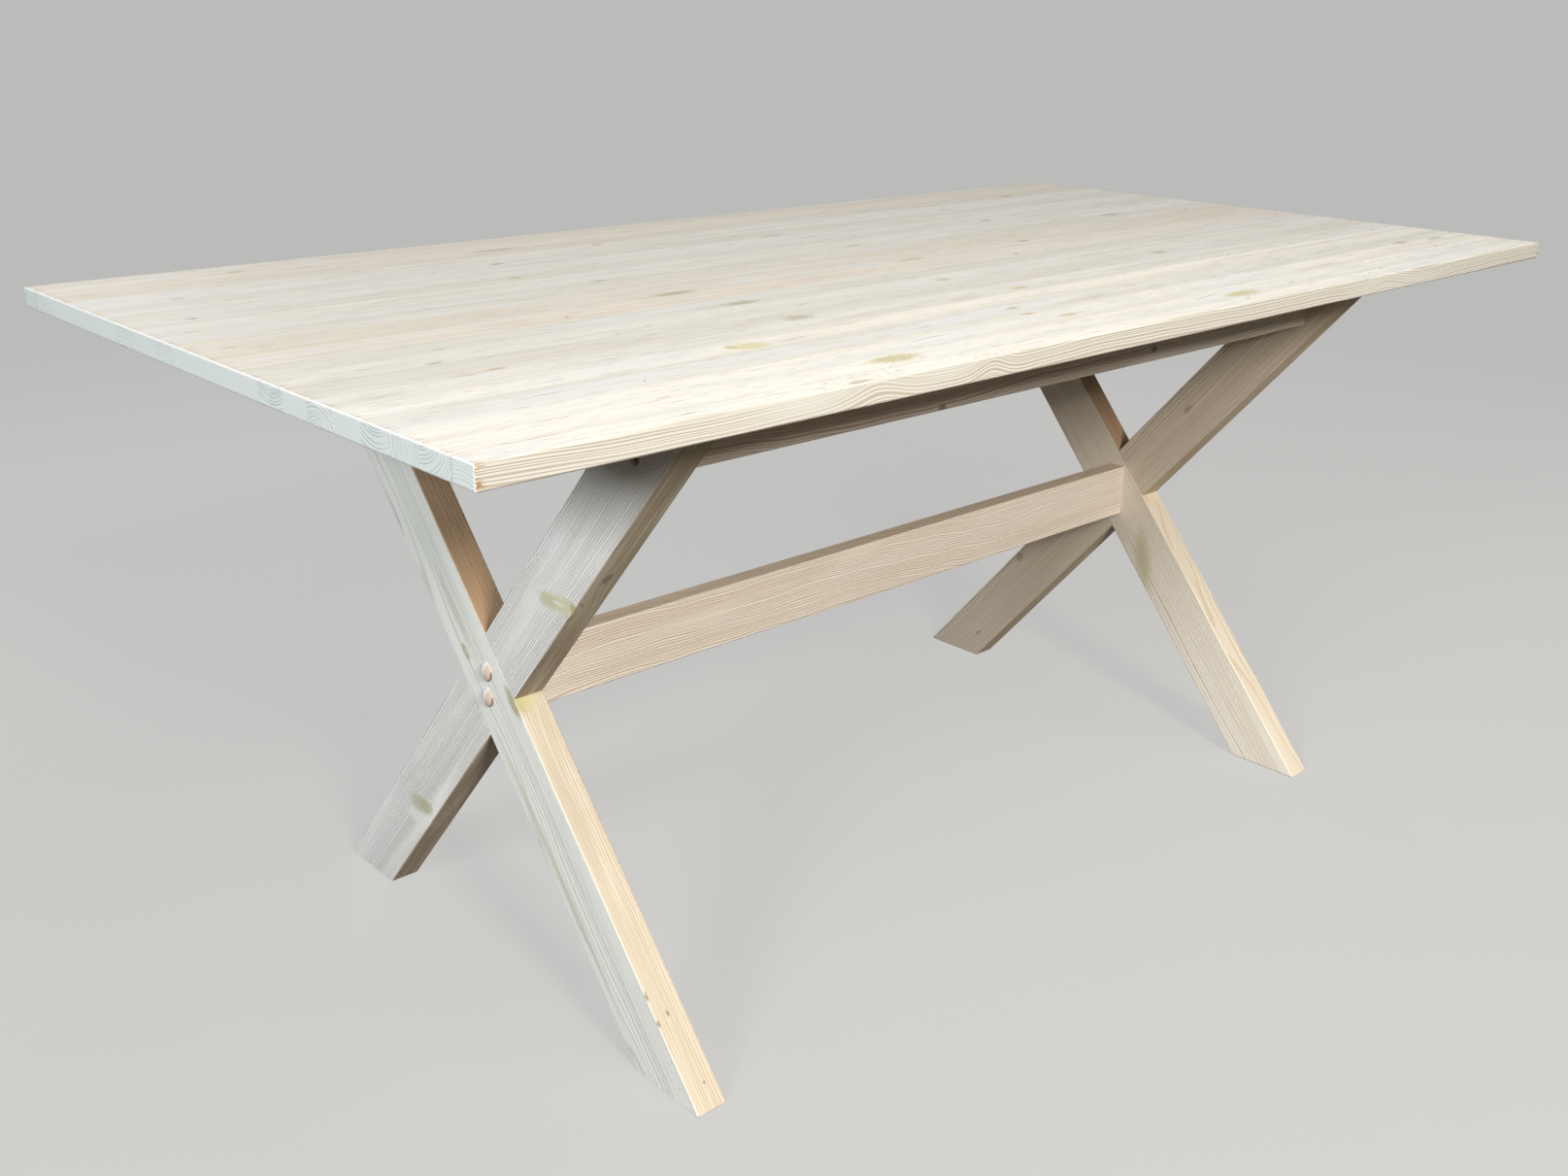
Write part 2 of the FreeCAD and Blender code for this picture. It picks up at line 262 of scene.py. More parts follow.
# A knot's own rings: radians in a half size, and how far they change its cover
KNOT_RING_TURNS = 16.0
KNOT_RINGS = 0.1
# Kinds of knot: colour, how much it covers, and how far it draws the grain aside
KNOT_KINDS = {
    "olive": (srgb(196, 188, 132), 0.80, 0.4),
    "grey": (srgb(158, 152, 122), 0.66, 0.45),
    "tan": (srgb(196, 168, 128), 0.70, 0.4),
    "dark": (srgb(122, 108, 86), 0.82, 0.5),
    "dot": (srgb(104, 80, 62), 0.90, 0.2),
    "band": (srgb(212, 208, 166), 0.85, 0.12),
    "sage": (srgb(192, 191, 160), 0.82, 0.22),
    "moss": (srgb(172, 166, 106), 0.82, 0.3),
    "smear": (srgb(202, 202, 178), 0.60, 0.1),
    "pale": (srgb(248, 246, 240), 0.60, 0.0),
    "yellow": (srgb(216, 208, 152), 0.75, 0.2),
    "swell": (srgb(240, 230, 212), 0.0, 0.075),
}


def knot_group():
    """A knot: how far it draws the grain aside, where it shows, and the distance from its middle."""
    inputs = [("Place", VECTOR), ("Centre", VECTOR), ("Size", VECTOR)]
    inputs += [(name, FLOAT) for name in ("Turn", "Draw", "Feather")]
    outputs = [("Pull", VECTOR), ("Mask", FLOAT), ("Distance", FLOAT)]
    tree, net, given, result = node_group("pine_knot", inputs, outputs)
    offset = net.vector("SUBTRACT", given["Place"], given["Centre"])
    askew = net.new("ShaderNodeVectorRotate", rotation_type="Z_AXIS")
    net.feed(askew.inputs["Vector"], offset)
    net.feed(askew.inputs["Angle"], given["Turn"])
    distance = net.vector("LENGTH", net.vector("DIVIDE", askew.outputs[0], given["Size"]))
    falloff = net.math("EXPONENT", net.math("DIVIDE", net.times(distance, distance), -PULL_REACH))
    pull = net.new("ShaderNodeVectorMath", operation="SCALE")
    net.feed(pull.inputs["Vector"], net.vector("MULTIPLY", offset, OFF_LINE))
    net.feed(pull.inputs["Scale"], net.times(falloff, given["Draw"]))
    net.feed(result["Pull"], pull.outputs["Vector"])
    ragged = net.noise(given["Place"], KNOT_RAGGED, detail=3.0)
    ragged = net.math("SUBTRACT", ragged, NOISE_MIDDLE)
    edge = net.math("MULTIPLY_ADD", ragged, given["Feather"], distance)
    net.feed(result["Mask"], net.math("SUBTRACT", 1.0, net.smooth(edge, *KNOT_FADE)))
    net.feed(result["Distance"], edge)
    return tree


RINGS = ring_group()
KNOT = knot_group()

# Wood

# Shares of a ring at which its dark line begins and is darkest
NARROW_LINE = (0.52, 0.86)
SOFT_LINE = (0.20, 0.68)
# Noise along the grain, in waves to the millimetre, and the levels between which it comes in
STREAK_NOISE = (0.0016, 0.055, 0.055)
STREAK_LEVELS = (0.42, 0.72)
FIBRE_NOISE = (0.012, 0.85, 0.85)
FIBRE_LEVELS = (0.3, 0.8)
FIBRE_COVER = 0.14
PATCH_NOISE = (0.0035, 0.03, 0.03)
PATCH_LEVELS = (0.2, 0.55)
# How far the noise moves along the board for each unit of phase
PHASE_SHIFT = 137.0
ROUGHNESS_SPREAD = 0.16
WOOD_SHINE = 0.2


class Look:
    """Colours and relief of one kind of board. Covers go from 0, not seen, to 1."""

    def __init__(self, base, line, streak, line_cover, streak_cover, relief, roughness=0.66):
        self.base = base
        self.line = line
        self.streak = streak
        self.line_cover = line_cover
        self.streak_cover = streak_cover
        self.relief = relief
        self.roughness = roughness


class Grain:
    """How a board was sawn: its pith, ring spacing, waver and phase, in millimetres.

    Crowd says how much closer the rings lie further out, line at which shares of a ring its dark
    line begins and is darkest, and uneven by what share of the spacing the rings stray."""

    def __init__(self, pith, spacing, waver=1.0, phase=0.0, crowd=0.0, line=NARROW_LINE, uneven=0.3):
        self.pith = (0.0, *pith)
        self.spacing = spacing
        self.waver = waver
        self.phase = phase
        self.crowd = crowd
        self.line = line
        self.uneven = uneven


class Pine:
    """Solid pine for one board, in the board's own axes: along, across and through, in millimetres."""

    def __init__(self, name, place, turn, look, grain, knots, feather=0.9):
        self.material, self.net = blank_material(name)
        self.place = Vector(place)
        self.turn = turn
        self.look = look
        self.grain = grain
        self.here = self.board_place()
        self.bent, self.knots = self.bend_round(knots, feather)
        self.colour, self.groove, self.fibre = self.wood()

    def board_place(self):
        """A point in the board's own axes."""
        local = self.net.new("ShaderNodeMapping", vector_type="TEXTURE")
        self.net.feed(local.inputs["Vector"], self.net.new("ShaderNodeTexCoord").outputs["Object"])
        local.inputs["Location"].default_value = self.place
        local.inputs["Rotation"].default_value = self.turn.to_euler("XYZ")
        local.inputs["Scale"].default_value = (MM, MM, MM)
        return local.outputs[0]

    def bend_round(self, knots, feather):
        """Grain drawn aside by each knot, and the knots that show.

        A knot has a kind, a place in the table's frame, half sizes in the board's axes and, if it
        lies askew, a turn. Feather says how ragged the outlines are."""
        net = self.net
        bent = self.here
        shown = []
        for kind, spot, size, *askew in knots:
            colour, cover, draw = KNOT_KINDS[kind]
            knot = net.new("ShaderNodeGroup", node_tree=KNOT)
            net.feed(knot.inputs["Place"], self.here)
            centre = self.turn.inverted() @ (Vector(spot) - self.place * TO_MM)
            knot.inputs["Centre"].default_value = centre
            knot.inputs["Size"].default_value = size
            knot.inputs["Turn"].default_value = askew[0] if askew else 0.0
            knot.inputs["Draw"].default_value = draw
            knot.inputs["Feather"].default_value = feather
            bent = net.vector("SUBTRACT", bent, knot.outputs["Pull"])
            if cover:
                shown.append((knot, colour, cover, KNOT_RINGS if draw else 0.0))
        return bent, shown

    def wood(self):
        """Colour before knots and finish, the grooves between rings, and the fibres."""
        net, look, grain = self.net, self.look, self.grain
        rings = net.new("ShaderNodeGroup", node_tree=RINGS)
        net.feed(rings.inputs["Place"], self.bent)
        rings.inputs["Pith"].default_value = grain.pith
        rings.inputs["Spacing"].default_value = grain.spacing
        rings.inputs["Crowd"].default_value = grain.crowd
        rings.inputs["Waver"].default_value = grain.waver
        rings.inputs["Phase"].default_value = grain.phase
        rings.inputs["Uneven"].default_value = grain.uneven
        step = net.math("FRACT", rings.outputs["Ring"])
        begin, darkest = grain.line
        groove = net.math("SUBTRACT", net.smooth(step, begin, darkest), net.smooth(step, darkest, 1.0))
        shifted = net.vector("ADD", self.bent, (PHASE_SHIFT * grain.phase, 0.0, 0.0))
        streak = net.noise(shifted, STREAK_NOISE, detail=3.0)
        fibre = net.noise(shifted, FIBRE_NOISE, detail=3.0, roughness=0.6)
        patch = net.noise(shifted, PATCH_NOISE)
        groove = net.times(groove, net.smooth(patch, *PATCH_LEVELS))
        streaks = net.times(net.smooth(streak, *STREAK_LEVELS), look.streak_cover)
        fibres = net.times(net.smooth(fibre, *FIBRE_LEVELS), FIBRE_COVER)
        colour = net.blend(streaks, look.base, look.streak)
        colour = net.blend(net.times(groove, look.line_cover), colour, look.line)
        colour = net.blend(fibres, colour, look.line)
        return colour, groove, fibre

    def paint(self, amount, colour):
        """Lays a colour over the wood."""
        self.colour = self.net.blend(amount, self.colour, colour)

    def beyond(self, axis, limit, width):
        """1 where the place's distance from the board's middle along one axis passes a limit."""
        distance = self.net.math("ABSOLUTE", self.net.apart(self.here)[axis])
        return self.net.smooth(distance, limit - width, limit)

    def show_knots(self):
        """Paints the knots, and clears the grooves from them."""
        net = self.net
        for knot, tint, cover, rings in self.knots:
            heart = net.math("SINE", net.times(knot.outputs["Distance"], KNOT_RING_TURNS))
            strength = net.math("MULTIPLY_ADD", heart, rings, cover - rings)
            self.paint(net.times(knot.outputs["Mask"], strength), tint)
            self.groove = net.times(self.groove, net.math("SUBTRACT", 1.0, knot.outputs["Mask"]))

    def finish(self, fuzz=0.2):
        """The finished material. Fuzz is how far the fibres stand up, as a share of the relief."""
        net, look = self.net, self.look
        height = net.math("MULTIPLY_ADD", self.fibre, -fuzz, net.math("SUBTRACT", 1.0, self.groove))
        smoothest = look.roughness - ROUGHNESS_SPREAD / 2
        roughness = net.math("MULTIPLY_ADD", self.fibre, ROUGHNESS_SPREAD, smoothest)
        shader = net.relief_surface(self.colour, roughness, height, look.relief)
        shader.inputs["Specular IOR Level"].default_value = WOOD_SHINE
        return self.material


def dress(node, material):
    """Gives a CAD node one material."""
    mesh = nodes[node].data
    mesh.materials.clear()
    mesh.materials.append(material)


def middle(node):
    """The middle of a node's box, in metres."""
    low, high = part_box(node)
    return (low + high) / 2


def half_sizes(node):
    """Half the sides of a node's box, in millimetres."""
    low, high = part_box(node)
    return (high - low) * TO_MM / 2


# Turns from a board's own axes (along, across, through) to the table's
LYING = Matrix.Identity(3)
ON_EDGE = Matrix.Rotation(math.radians(90), 3, "X")


def leg_turn(foot_side):
    """Along runs up the leg, across lies in the frame's plane and through points along the table."""
    along = Vector((0.0, -foot_side * math.sin(LEG_LEAN), math.cos(LEG_LEAN)))
    through = Vector((1.0, 0.0, 0.0))
    across = through.cross(along)
    return Matrix((along, across, through)).transposed()


# Top

TOP_BASE = {
    "cream": srgb(253, 251, 244),
    "white": srgb(237, 237, 233),
    "grey": srgb(229, 228, 222),
    "pink": srgb(236, 229, 220),
    "tan": srgb(228, 224, 215),
}
WARM_TINTS = ("pink", "tan")
TOP_LINE = srgb(196, 184, 164)
TOP_STREAK = srgb(219, 215, 206)
WARM_STREAK = srgb(227, 217, 203)
WHITE_STREAK = srgb(250, 249, 244)
END_WHITE = srgb(238, 245, 244)
END_LINE = srgb(208, 217, 215)
# The rim of the sawn ends: a whiter wash, and a painted highlight along their arrises.
RIM_WASH_AND_HIGHLIGHT = srgb(252, 255, 255)
TORN_FIBRE = srgb(176, 138, 96)
EDGE_BASE = srgb(224, 223, 214)
EDGE_LINE = srgb(190, 180, 163)

# Tint of each stave, from the front edge to the back one
STAVE_TINTS = (
    "cream", "cream", "cream", "white", "cream", "white", "grey",
    "white", "grey", "pink", "tan", "tan", "grey", "white",
    "grey", "white", "grey", "white", "tan", "pink", "tan",
)
# Pith of each stave, across and through from its middle, as the rings on the left end show it
STAVE_PITHS = (
    (4, -70), (26, 34), (-60, 12), (3, 40), (70, -8), (-4, -26), (55, 30),
    (0, 38), (-70, -20), (45, -40), (10, -60), (-50, 25), (8, 44), (60, 15),
    (-5, -42), (65, -25), (-48, 30), (5, 50), (70, 10), (-12, -36), (30, 40),
)
# How clearly the rings stand out on each stave's sawn ends
END_RINGS = (
    0.3, 0.9, 0.6, 1.0, 0.2, 1.0, 0.2,
    1.0, 0.15, 0.1, 0.1, 0.1, 0.7, 0.15,
    0.8, 0.15, 0.1, 0.1, 0.1, 0.7, 0.8,
)
EDGE_STAVES = (0, len(STAVE_TINTS) - 1)
# Cover of the ring lines on the sanded faces
STAVE_LINE_COVER = 0.2
# Ring spacing and phase of the staves: a first value and how it goes on from stave to stave
STAVE_SPACING = 3.4
SPACING_RANGE = 0.5
SPACING_STEP = 2.4
STAVE_PHASE = 1.0
PHASE_STEP = 0.83

# Washes on the top in the order of painting: colour, noise in waves to the millimetre, its detail,
# the levels between which it comes in, and its cover. They are a cool veil, white streaks, fine
# lines and short dashes.
WASHES = (
    (srgb(232, 236, 238), (0.003, 0.05, 0.05), 2.0, (0.45, 0.70), 0.60),
    (WHITE_STREAK, (0.005, 0.20, 0.20), 2.0, (0.58, 0.72), 0.60),
    (srgb(186, 182, 174), (0.010, 0.48, 0.48), 3.0, (0.54, 0.66), 0.45),
    (srgb(158, 152, 140), (0.030, 0.50, 0.50), 1.0, (0.67, 0.75), 0.60),
)
# How far the washes move along from stave to stave
WASH_SHIFT = 411.0

# Knots that show on the top: kind, place along and across, half length and half width
TOP_KNOTS = (
    ("grey", -635, 396, 11, 4), ("grey", -753, 276, 7, 4), ("dark", -784, 168, 5, 2.5),
    ("grey", -812, 107, 9, 2.5), ("grey", -814, 20, 6, 3), ("grey", -705, -149, 9, 3),
    ("grey", -315, 356, 36, 6), ("dark", -372, 264, 10, 2.5), ("olive", -407, 172, 9, 5),
    ("grey", -188, 315, 7, 4), ("grey", -344, 99, 13, 3.5), ("grey", -327, -14, 25, 7),
    ("grey", -307, -101, 22, 8), ("yellow", -442, -266, 18, 14), ("olive", -461, -262, 7, 6),
    ("grey", -313, -195, 18, 9), ("tan", -677, -201, 10, 4), ("grey", 44, 237, 22, 4),
    ("grey", 648, 337, 13, 6), ("grey", 397, 166, 11, 5), ("grey", 438, 281, 13, 4),
    ("grey", 601, 95, 20, 6), ("grey", 71, 110, 13, 4), ("grey", 284, 3, 10, 6),
    ("olive", 50, -12, 22, 6), ("olive", -29, -136, 11, 5), ("olive", 1, -223, 12, 5),
    ("tan", -101, -298, 8, 5), ("tan", -113, -328, 9, 4), ("olive", -84, -358, 11, 5),
    ("olive", -376, -389, 30, 12), ("grey", 347, -169, 15, 6), ("olive", 172, -402, 29, 10),
    ("grey", 688, -322, 17, 6), ("grey", 772, -329, 20, 5), ("grey", -464, -433, 14, 3.5),
    ("dot", -495, -51, 2.2, 2.2), ("dot", -506, -148, 1.4, 1.4), ("dot", -604, -316, 1.4, 1.4),
    ("dot", 191, -62, 3, 3), ("dot", 758, 69, 2.6, 2.6), ("dot", 811, -58, 2.6, 2.6),
    ("dot", 618, -60, 2.5, 2.5), ("dot", 702, -365, 2.5, 2.5), ("dot", 282, -397, 2.2, 2.2),
    ("dot", 150, -423, 2.0, 2.0), ("dot", 406, -234, 2.2, 2.2), ("dot", 774, -236, 2.6, 2.6),
)
KNOT_DEPTH = 60.0
TOP_FEATHER = 1.9
TOP_FUZZ = 0.06
TOP_Z = cad_box[1].z * TO_MM
FRONT_Y = cad_box[0].y * TO_MM

# Shares of the full relief: on the sanded faces, on the sawn ends and on the brushed long edges
FACE_RELIEF = 0.25
END_RELIEF = 0.7
EDGE_RELIEF = 0.42

# Glue lines, and the stave with a pale stripe along both of its own
SEAM_WIDTH = 1.4
SEAM_COVER = 0.7
STRIPED_STAVE = 9
STRIPE_WIDTH = 3.0
STRIPE_COVER = 0.8

# Long edges: how far in their colour begins, and the grain of the staves that have them, whose ring
# lines hardly show on the sanded faces
SIDE_DEPTH = 0.4
SIDE_BLUR = 0.8
EDGE_SPACING = 2.8
EDGE_WAVER = 0.5
EDGE_LINE_FADE = 0.08
# Places along the front edge where hidden knots lift the grain, each with its half length
EDGE_SWELLS = ((-452, 19), (-300, 12), (430, 24))
SWELL_DEPTH = 150.0
SWELL_REACH = 300.0

# Sawn ends: how far in their white begins, its rim, and the torn fibres on the arris beside them
END_DEPTH = 1.0
END_BLUR = 0.8
RIM_WIDTH = 2.6
TORN_CORNER = 5.0
TORN_NOISE = (0.05, 0.9, 0.3)
TORN_LEVELS = (0.58, 0.66)
TORN_DEPTH = 1.5
TORN_LENGTH = 12.0


def stave_look(index, tint):
    """Whitewash of one stave's faces."""
    streak = WARM_STREAK if tint in WARM_TINTS else TOP_STREAK
    line_cover = EDGE_LINE_FADE if index in EDGE_STAVES else STAVE_LINE_COVER
    return Look(TOP_BASE[tint], TOP_LINE, streak, line_cover, streak_cover=0.5, relief=0.45)


def stave_grain(index, pith):
    """Rings of one stave, finer and softer in the two that have a long edge."""
    phase = STAVE_PHASE + PHASE_STEP * index
    if index in EDGE_STAVES:
        return Grain(pith, EDGE_SPACING, EDGE_WAVER, phase, line=SOFT_LINE)
    spacing = STAVE_SPACING + SPACING_RANGE * math.sin(index * SPACING_STEP)
    return Grain(pith, spacing, phase=phase)


def wash_stave(wood, index):
    """Veil, streaks, lines and dashes, which differ from stave to stave."""
    net = wood.net
    washed = net.vector("ADD", wood.bent, (WASH_SHIFT * index, 0.0, 0.0))
    for colour, stretch, detail, levels, cover in WASHES:
        amount = net.smooth(net.noise(washed, stretch, detail), *levels)
        wood.paint(net.times(amount, cover), colour)


def paint_seams(wood, index, half):
    """Glue lines along a stave, white and warm in turn."""
    net = wood.net
    seam = net.times(wood.beyond(ACROSS, half.y, SEAM_WIDTH), SEAM_COVER)
    wood.paint(seam, WHITE_STREAK if index % 2 else WARM_STREAK)
    if index == STRIPED_STAVE:
        stripe = net.times(wood.beyond(ACROSS, half.y, STRIPE_WIDTH), STRIPE_COVER)
        wood.paint(stripe, WHITE_STREAK)


def paint_side(wood, half):
    """The brushed long edge of an outer stave. Returns where it is."""
    net = wood.net
    side = wood.beyond(ACROSS, half.y - SIDE_DEPTH, SIDE_BLUR)
    wood.paint(side, net.blend(wood.groove, EDGE_BASE, EDGE_LINE))
    corner = net.times(side, wood.beyond(ALONG, half.x, TORN_CORNER))
    wood.paint(net.times(wood.groove, corner), TORN_FIBRE)
    return side


def tear_arris(wood, half):
    """Torn brown fibres on the face, close to the sawn ends."""
    net = wood.net
    torn = net.smooth(net.noise(wood.here, TORN_NOISE, detail=3.0), *TORN_LEVELS)
    wood.paint(net.times(torn, wood.beyond(ALONG, half.x - TORN_DEPTH, TORN_LENGTH)), TORN_FIBRE)


def stave_wood(node, index, tint, pith, end_rings, knots):
    """One stave: soft whitewash on its faces, brushed outer edges and paler sawn ends."""
    half = half_sizes(node)
    look = stave_look(index, tint)
    grain = stave_grain(index, pith)
    wood = Pine(f"wood_{node}", middle(node), LYING, look, grain, knots, TOP_FEATHER)
    net = wood.net
    wash_stave(wood, index)
    wood.show_knots()
    paint_seams(wood, index, half)
    at_end = wood.beyond(ALONG, half.x - END_DEPTH, END_BLUR)
    relief = net.math("MULTIPLY_ADD", at_end, END_RELIEF * end_rings - FACE_RELIEF, FACE_RELIEF)
    if index in EDGE_STAVES:
        side = paint_side(wood, half)
        relief = net.math("MAXIMUM", relief, net.times(side, EDGE_RELIEF))
        at_end = net.math("SUBTRACT", at_end, net.times(at_end, side))
    tear_arris(wood, half)
    wood.groove = net.times(wood.groove, relief)
    wood.paint(at_end, net.blend(wood.groove, END_WHITE, END_LINE))
    # White rim at the arrises of the sawn ends: whiter wash and a painted highlight.
    wood.paint(net.times(at_end, wood.beyond(THROUGH, half.z, RIM_WIDTH)), RIM_WASH_AND_HIGHLIGHT)
    return wood.finish(TOP_FUZZ)


def stave_knots(node, index):
    """The knots that reach into one stave, and the hidden ones under the front edge."""
    low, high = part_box(node)
    knots = []
    for kind, along, across, half_length, half_width in TOP_KNOTS:
        if low.y * TO_MM - half_width < across < high.y * TO_MM + half_width:
            knots.append((kind, (along, across, TOP_Z), (half_length, half_width, KNOT_DEPTH)))
    if index == 0:
        for along, half_length in EDGE_SWELLS:
            below = (along, FRONT_Y, TOP_Z - SWELL_DEPTH)
            knots.append(("swell", below, (half_length, SWELL_REACH, SWELL_REACH)))
    return knots


def dress_top():
    """The staves, from the front edge to the back one."""
    for index, stave in enumerate(zip(STAVE_TINTS, STAVE_PITHS, END_RINGS)):
        node = f"top_stave_{index + 1:02d}"
        dress(node, stave_wood(node, index, *stave, stave_knots(node, index)))


# Legs

LEG_HALF_WIDTH = 38.5
LEG_HALF_THICKNESS = 18.5

LEG_GRAIN = {
    "leg_left_front_foot": Grain((-40, 75), spacing=2.5, waver=0.35, phase=2.0),
    "leg_left_back_foot": Grain((-46, -25), spacing=2.6, waver=0.35, phase=4.4, uneven=0.16),
    "leg_right_front_foot": Grain((-110, -20), spacing=9.6, waver=0.4, phase=6.1, crowd=0.01),
    "leg_right_back_foot": Grain((-62, 30), spacing=3.4, waver=0.5, phase=7.7),
}
# Wide faces of each leg. The right-hand legs are warmer than the left ones as painted light, for the warm
# lamp that falls on them.
LEG_LOOKS = {
    "leg_left_front_foot": Look(
        base=srgb(252, 253, 248), line=srgb(164, 160, 160), streak=srgb(226, 229, 221),
        line_cover=0.40, streak_cover=0.5, relief=0.26,
    ),
    "leg_left_back_foot": Look(
        base=srgb(255, 255, 254), line=srgb(152, 149, 146), streak=srgb(236, 235, 230),
        line_cover=0.62, streak_cover=0.5, relief=0.55,
    ),
    # Warmer base: painted light of the warm lamp.
    "leg_right_front_foot": Look(
        base=srgb(255, 248, 234), line=srgb(166, 146, 128), streak=srgb(240, 230, 210),
        line_cover=0.56, streak_cover=0.5, relief=0.36,
    ),
    # Warmer base: painted light of the warm lamp.
    "leg_right_back_foot": Look(
        base=srgb(240, 229, 212), line=srgb(160, 142, 122), streak=srgb(226, 213, 194),
        line_cover=0.36, streak_cover=0.5, relief=0.30,
    ),
}
# Narrow faces of each leg: ground and lines. Those of the left back-foot leg are darker as painted shade.
LEG_EDGES = {
    "leg_left_front_foot": (srgb(220, 208, 187), srgb(198, 172, 134)),
    # Painted shade: darker narrow faces on this leg.
    "leg_left_back_foot": (srgb(184, 171, 149), srgb(160, 141, 115)),
    "leg_right_front_foot": (srgb(236, 226, 206), srgb(206, 178, 136)),
    "leg_right_back_foot": (srgb(216, 198, 172), srgb(186, 158, 122)),
}
# How far in the narrow faces' colour begins
NARROW_DEPTH = 0.3
NARROW_BLUR = 1.2
# Streaks of thicker whitewash on the narrow faces
EDGE_WASH = srgb(240, 233, 216)
EDGE_WASH_NOISE = (0.006, 0.07, 0.07)
EDGE_WASH_LEVELS = (0.4, 0.7)
EDGE_WASH_COVER = 0.5
# Lines of the narrow faces: levels of the fibres that show, and the cover of fibres and grooves
EDGE_FIBRE_LEVELS = (0.42, 0.75)
EDGE_LINE_COVER = 0.5
# Upper narrow faces above the crossing, browner as painted shade under the top: ground and lines, and how
# far up the leg from the crossing the painted shade takes to come in fully
SHADED_UPPER_EDGES = {
    "leg_left_front_foot": (srgb(188, 152, 116), srgb(146, 114, 82)),
    "leg_right_front_foot": (srgb(160, 124, 92), srgb(120, 90, 64)),
}
SHADE_ABOVE_CROSSING = 50.0
LEG_SHADE_COVER = 0.85
# Paler arrises, a faint painted highlight
ARRIS_DEPTH = 0.5
ARRIS_WIDTH = 2.0
ARRIS_HIGHLIGHT_COVER = 0.12
# Turns of knots that lie askew: level, or steeper than the leg
LEVEL = LEG_LEAN
STEEPER = -math.radians(28)
# Knots and small chips: kind, place, half sizes along, across and through the leg, and a turn if askew
LEG_KNOTS = {
    "leg_left_front_foot": [
        ("smear", (-578, 60, 426), (52, 5, 16)),
        ("smear", (-578, -110, 190), (150, 5, 16)),
        ("moss", (-578, 40, 382), (10, 4.5, 30)),
        ("pale", (-578, 40, 382), (3.5, 2, 20)),
        ("moss", (-576, -48, 351.5), (18, 7, 20)),
        ("yellow", (-565, -57, 357), (15, 8, 14)),
        ("dark", (-562, -283, 81), (3.5, 4, 1.4)),
        ("dark", (-577, -268, 100), (5, 2.4, 1.8)),
        ("dark", (-577, -287, 77), (3.5, 2.4, 1.8)),
        ("dark", (-556, -333, 22), (1.8, 3, 1.2)),
    ],
    "leg_left_back_foot": [
        ("band", (-578, -124, 489), (9, 17, 16), LEVEL),
        ("band", (-578, -147, 490), (10, 19, 16), LEVEL),
        ("smear", (-578, -119, 488), (7, 14, 16), LEVEL),
        ("pale", (-578, -138, 490), (2.5, 9, 16), LEVEL),
        ("moss", (-578, -163, 492), (6, 4, 5), LEVEL),
        ("sage", (-578, 166, 146), (11, 20, 18), LEVEL),
        ("sage", (-578, 150, 148), (9, 14, 18), LEVEL),
        ("pale", (-578, 171, 125), (9, 24, 18), LEVEL),
        ("dark", (-560, -196, 528), (9, 14, 5)),
    ],
    "leg_right_front_foot": [
        ("band", (541, -62, 256), (46, 14, 30), STEEPER),
        ("smear", (541, -61, 257), (26, 6, 30), STEEPER),
    ],
    "leg_right_back_foot": [
        ("grey", (541, 249, 42), (5, 3, 24)),
        ("grey", (541, 173, 199), (9, 6, 24)),
        ("grey", (541, -112, 501), (9, 4, 24)),
    ],
}


def paint_narrow(wood, node):
    """Narrow faces: cream with streaks of wash, and browner above the crossing where the leg has that, as
    painted shade under the top.
    """
    net = wood.net
    narrow = wood.beyond(ACROSS, LEG_HALF_WIDTH - NARROW_DEPTH, NARROW_BLUR)
    ground, line = LEG_EDGES[node]
    washed = net.smooth(net.noise(wood.here, EDGE_WASH_NOISE), *EDGE_WASH_LEVELS)
    ground = net.blend(net.times(washed, EDGE_WASH_COVER), ground, EDGE_WASH)
    fibres = net.times(net.smooth(wood.fibre, *EDGE_FIBRE_LEVELS), EDGE_LINE_COVER)
    lines = net.math("MAXIMUM", net.times(wood.groove, EDGE_LINE_COVER), fibres)
    wood.paint(narrow, net.blend(lines, ground, line))
    # Painted shade: the upper narrow face above the crossing turns brown, for the shade under the top.
    if node in SHADED_UPPER_EDGES:
        shade_ground, shade_line = SHADED_UPPER_EDGES[node]
        place = net.apart(wood.here)
        upper = net.times(narrow, net.smooth(place[ALONG], 0.0, SHADE_ABOVE_CROSSING))
        upper = net.times(upper, net.smooth(place[ACROSS], 0.0, LEG_HALF_WIDTH))
        wood.paint(net.times(upper, LEG_SHADE_COVER), net.blend(lines, shade_ground, shade_line))


def leg_wood(node, foot_side):
    """One leg: washed wide faces, creamier narrow ones and a faint painted highlight on the arrises."""
    place = Vector((middle(node).x, 0.0, CROSSING_HEIGHT * MM))
    turn = leg_turn(foot_side)
    wood = Pine(f"wood_{node}", place, turn, LEG_LOOKS[node], LEG_GRAIN[node], LEG_KNOTS[node])
    paint_narrow(wood, node)
    wood.show_knots()
    # Painted highlight along the arrises.
    on_side = wood.beyond(ACROSS, LEG_HALF_WIDTH - ARRIS_DEPTH, ARRIS_WIDTH)
    on_face = wood.beyond(THROUGH, LEG_HALF_THICKNESS - ARRIS_DEPTH, ARRIS_WIDTH)
    arris = wood.net.times(on_side, on_face)
    wood.paint(wood.net.times(arris, ARRIS_HIGHLIGHT_COVER), END_WHITE)
    return wood.finish()


def dress_legs():
    """The four legs, by end and by the side that the foot stands on."""
    for end_name in ("left", "right"):
        for foot_name, foot_side in (("front", -1), ("back", 1)):
            node = f"leg_{end_name}_{foot_name}_foot"
            dress(node, leg_wood(node, foot_side))


# Stretcher and rails

